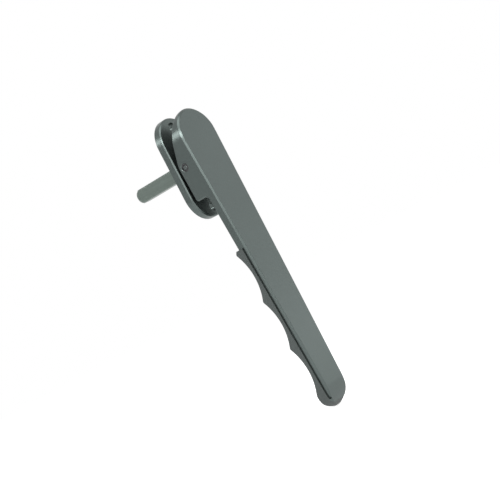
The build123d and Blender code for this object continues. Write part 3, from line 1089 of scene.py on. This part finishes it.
groove_back = RING_SETBACK - GROOVE_PLAY
groove_front = RING_SETBACK + RING_THICKNESS + GROOVE_PLAY
groove_radius = RING_INNER_RADIUS - PRESS_FIT
hub_shape = turned([
    (0, -NECK_SETBACK),
    (NECK_RADIUS, -NECK_SETBACK),
    (NECK_RADIUS, -groove_back),
    (groove_radius, -groove_back),
    (groove_radius, -groove_front),
    (NECK_RADIUS, -groove_front),
    (NECK_RADIUS, -COLLAR_BACK),
    (FLANGE_RADIUS, -COLLAR_BACK),
    (FLANGE_RADIUS, -COLLAR_FRONT),
    (0, -COLLAR_FRONT),
])
hub_shape = combine(hub_shape, rod(
    CROSS_PIN_RADIUS + PRESS_FIT, -2 * NECK_RADIUS, 2 * NECK_RADIUS, CROSS_PIN, across=True
))
print("Groove is", round((groove_front - groove_back) / MM, 2), "mm wide")

# %% [markdown]
# The tongue carries the lever. Its nose has a flat for each resting position of the lever, on
# which the leaf spring in the pocket lies. A flat is one plane through the tongue, so
# bisect_plane cuts it, and the edges that it leaves are filled again.

# %% Tongue of the hub
TONGUE_HALF_WIDTH = 5.5 * MM
TONGUE_HALF_HEIGHT = 5.0 * MM
TONGUE_ROOT = 0.4 * MM
CAM_FLAT_DISTANCE = 4.8 * MM
FOLD_ANGLE = radians(18)

tongue = combine(
    rod(TONGUE_HALF_HEIGHT, -TONGUE_HALF_WIDTH, TONGUE_HALF_WIDTH, PIVOT, across=True, steps=96),
    block(
        (-TONGUE_HALF_WIDTH, -PIVOT_FRONT, -TONGUE_HALF_HEIGHT),
        (TONGUE_HALF_WIDTH, -COLLAR_FRONT + TONGUE_ROOT, TONGUE_HALF_HEIGHT),
    ),
    "UNION",
)
for angle in (0, FOLD_ANGLE):
    nose = Vector((0, -cos(angle), sin(angle)))
    cut = bmesh.ops.bisect_plane(
        tongue, geom=tongue.verts[:] + tongue.edges[:] + tongue.faces[:],
        plane_co=PIVOT + CAM_FLAT_DISTANCE * nose, plane_no=nose, clear_outer=True,
    )
    flat_rim = [item for item in cut["geom_cut"] if isinstance(item, bmesh.types.BMEdge)]
    bmesh.ops.edgeloop_fill(tongue, edges=flat_rim)
bmesh.ops.recalc_face_normals(tongue, faces=tongue.faces)
hub_shape = combine(hub_shape, tongue, "UNION")
print("Tongue and body have", len(hub_shape.faces), "faces")

# %% [markdown]
# The square socket takes the spindle, and a cross hole takes the hinge pin. They are cut last,
# because the socket goes on from the turned body into the tongue.

# %% Square socket and pin hole of the hub
SPINDLE_SIDE = 7.0 * MM
SPINDLE_DEPTH = 7.5 * MM
SPINDLE_PLAY = 0.05 * MM
PIN_RADIUS = 1.25 * MM

half_socket = SPINDLE_SIDE / 2 + SPINDLE_PLAY
hub_shape = combine(hub_shape, block(
    (-half_socket, -SPINDLE_DEPTH - SPINDLE_PLAY, -half_socket), (half_socket, SPARE, half_socket)
))
hub_shape = combine(hub_shape, rod(
    PIN_RADIUS + PRESS_FIT, -2 * NECK_RADIUS, 2 * NECK_RADIUS, PIVOT, across=True
))
finish_piece(hub_shape, "hub_with_tongue", "turning_hub", dark_steel, "hub")

# %% [markdown]
# ## The spindle
#
# The spindle is a square bar with its long edges broken, and its end is coned to find the lock.
# On a lathe the cone is cut from the square bar. Here it is done the same way: the bar is
# intersected with a turned shape that is wider than the bar until it narrows.

# %% Spindle
SPINDLE_REACH = 33.0 * MM
SPINDLE_END_RADIUS = 3.3 * MM
SPINDLE_END_ANGLE = radians(30)
SPINDLE_EDGE = 0.5 * MM
SPINDLE_EDGE_SOFTENING = 0.1 * MM

half_side = SPINDLE_SIDE / 2
spindle_shape = block(
    (-half_side, -SPINDLE_DEPTH, -half_side), (half_side, SPINDLE_REACH + SPARE, half_side)
)
for size, segments in ((SPINDLE_EDGE, 1), (SPINDLE_EDGE_SOFTENING, 2)):
    soften(spindle_shape, edges_along(spindle_shape, ALONG_THE_AXIS), size, segments)
cone_length = (SPINDLE_SIDE - SPINDLE_END_RADIUS) / tan(SPINDLE_END_ANGLE)
spindle_shape = combine(spindle_shape, turned([
    (0, -SPINDLE_DEPTH - SPARE),
    (SPINDLE_SIDE, -SPINDLE_DEPTH - SPARE),
    (SPINDLE_SIDE, SPINDLE_REACH - cone_length),
    (SPINDLE_END_RADIUS, SPINDLE_REACH),
    (0, SPINDLE_REACH),
]), "INTERSECT")
spindle_shape = combine(spindle_shape, rod(
    CROSS_PIN_RADIUS + PRESS_FIT, -SPINDLE_SIDE, SPINDLE_SIDE, CROSS_PIN, across=True
))
finish_piece(
    spindle_shape, "square_spindle", "turning_hub", spindle_steel, "spindle"
)

# %% [markdown]
# ## The hinge
#
# The lever swings on a steel pin through the tongue. Each end of it turns in a black split
# bush, which shows in the block's side as a dark C round the pin. Thin washers keep the tongue
# off the pocket's walls. All are turned, and a box cuts the slit of each bush.

# %% Pivot pin
PIN_SETBACK = 0.3 * MM
PIN_END = half_width_at_pivot - PIN_SETBACK
PIN_CHAMFER = 0.25 * MM

pin_shape = turned(
    [
        (0, -PIN_END),
        (PIN_RADIUS - PIN_CHAMFER, -PIN_END),
        (PIN_RADIUS, -PIN_END + PIN_CHAMFER),
        (PIN_RADIUS, PIN_END - PIN_CHAMFER),
        (PIN_RADIUS - PIN_CHAMFER, PIN_END),
        (0, PIN_END),
    ],
    PIVOT, across=True, steps=64,
)
finish_piece(pin_shape, "hinge_pin", "turning_hub", dark_steel, "pivot_pin")

# %% Bushes and washers of the hinge
BUSH_SLOT = 0.7 * MM
WASHER_INNER = 5.55 * MM
WASHER_THICKNESS = 0.5 * MM
WASHER_RADIUS = 4.1 * MM

running_radius = PIN_RADIUS + RUNNING_FIT
for side, side_name in ((-1, "left"), (1, "right")):
    inner, outer = sorted((side * POCKET_HALF_WIDTH, side * PIN_END))
    sleeve = tube(running_radius, BUSH_RADIUS, inner, outer, PIVOT, across=True, steps=64)
    slot = block(
        (-HUB_END_RADIUS, -PIVOT_FRONT, -BUSH_SLOT / 2), (HUB_END_RADIUS, 0, BUSH_SLOT / 2)
    )
    finish_piece(
        combine(sleeve, slot), f"split_bush_{side_name}", "lever_arm",
        bearing_plastic, f"pivot_bush_{side_name}",
    )
    inner, outer = sorted((side * WASHER_INNER, side * (WASHER_INNER + WASHER_THICKNESS)))
    washer = tube(running_radius, WASHER_RADIUS, inner, outer, PIVOT, across=True, steps=64)
    finish_piece(
        washer, f"thrust_washer_{side_name}", "turning_hub",
        bearing_plastic, f"side_washer_{side_name}",
    )

# %% [markdown]
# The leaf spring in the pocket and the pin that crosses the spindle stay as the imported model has
# them, because they are right and hardly seen. They only need a finish, which goes on the
# object's material slot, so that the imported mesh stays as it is.

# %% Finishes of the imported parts
for node_name, finish in (("detent_spring", spring_steel), ("spindle_pin", dark_steel)):
    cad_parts[node_name].material_slots[0].material = finish
    print(node_name, "has", finish.name)

# %% [markdown]
# ## The stage
#
# The handle is shown on white. A floor lies just under the lever's tip, and there is no wall,
# because it would hide the handle from the other side. More lamps would whiten the floor, but
# would wash out the handle too. So the floor is a dull white that also glows a little, but
# only for rays from the camera, reflections and what is seen through glass. That brings the
# bare floor up to white and leaves the soft shadow on it.

# %% Floor
FLOOR_WHITE = 0.80
FLOOR_GLOW = 0.68
FLOOR_REACH = 4.0
FLOOR_GAP = 0.2 * MM

floor_shape = bmesh.new()
bmesh.ops.create_grid(
    floor_shape, x_segments=1, y_segments=1, size=FLOOR_REACH,
    matrix=Matrix.Translation((0, 0, cad_low.z - FLOOR_GAP)),
)
floor = as_object(floor_shape, "floor")
floor_material, floor_finish = start_finish("white floor")
floor_finish.feed(floor_finish.shader, {
    "Base Color": (FLOOR_WHITE, FLOOR_WHITE, FLOOR_WHITE, 1),
    "Roughness": 1.0,
    "Specular IOR Level": 0.0,
    "Emission Color": (1, 1, 1, 1),
    "Emission Strength": floor_finish.background_ray() * FLOOR_GLOW,
})
floor.data.materials.append(floor_material)
print("Floor lies at", round((cad_low.z - FLOOR_GAP) / MM, 1), "mm")

# %% [markdown]
# The world does the same as the floor: the camera and reflections see it white, and it lights
# the handle much less than that. Metal shows little else than what it mirrors, so without the
# reflections its sides would turn black.

# %% World
WORLD_LIGHT = 0.42
world = bpy.data.worlds.new("studio")
bpy.context.scene.world = world
sky = Finish(world, "Background")
sky.feed(sky.shader, {
    "Color": (1, 1, 1, 1),
    "Strength": WORLD_LIGHT + sky.background_ray() * (1 - WORLD_LIGHT),
})
print("World lights with", WORLD_LIGHT, "of white")

# %% [markdown]
# ## The lamps
#
# A soft lamp overhead and two weak ones on the right light the front face, and the lower one
# lifts the lever towards its tip. The four on the left are there to be mirrored. A bright line
# on a metal edge is a picture of a lamp, so each stands where its edge mirrors it to the camera:
# the strip in the rounded hub end, the back one in the block's side, the front one in the hub
# end's chamfer, and the wide one in the long chamfer below it.

# %% Lamps
HUB_END = (0, 0, 0.01)
UPPER_LEVER = (0, 0, -0.03)
LOWER_LEVER = (0, 0, -0.10)


def softbox(name, place, aim, width, height, power):
    """A rectangular lamp in metres and watts, aimed at a point of the handle."""
    lamp = bpy.data.lights.new(name, "AREA")
    lamp.shape = "RECTANGLE"
    lamp.size = width
    lamp.size_y = height
    lamp.energy = power
    holder = bpy.data.objects.new(name, lamp)
    holder.location = place
    holder.rotation_euler = (Vector(place) - Vector(aim)).to_track_quat("Z", "Y").to_euler()
    bpy.context.scene.collection.objects.link(holder)
    print(name, "lamp:", power, "W")


softbox("overhead", (-0.15, -0.35, 0.80), UPPER_LEVER, width=0.6, height=0.6, power=3.0)
softbox("right high", (0.55, -0.42, 0.04), (0, 0, 0), width=0.35, height=0.35, power=0.24)
softbox("right low", (0.48, -0.40, -0.23), LOWER_LEVER, width=0.25, height=0.25, power=0.50)
softbox("left strip", (-0.50, -0.10, 0.30), HUB_END, width=0.9, height=0.12, power=1.0)
softbox("left back", (-0.41, 0.35, 0.30), HUB_END, width=0.17, height=0.17, power=0.72)
softbox("left front", (-0.30, -0.46, 0.25), HUB_END, width=0.14, height=0.14, power=1.30)
softbox("left wide", (-0.45, -0.60, 0.11), (0, 0, -0.01), width=0.30, height=0.22, power=0.62)

# %% [markdown]
# The Standard view shows a colour about as it is written, where the default one would grey
# the white background.

# %% View
bpy.context.scene.view_settings.view_transform = "Standard"
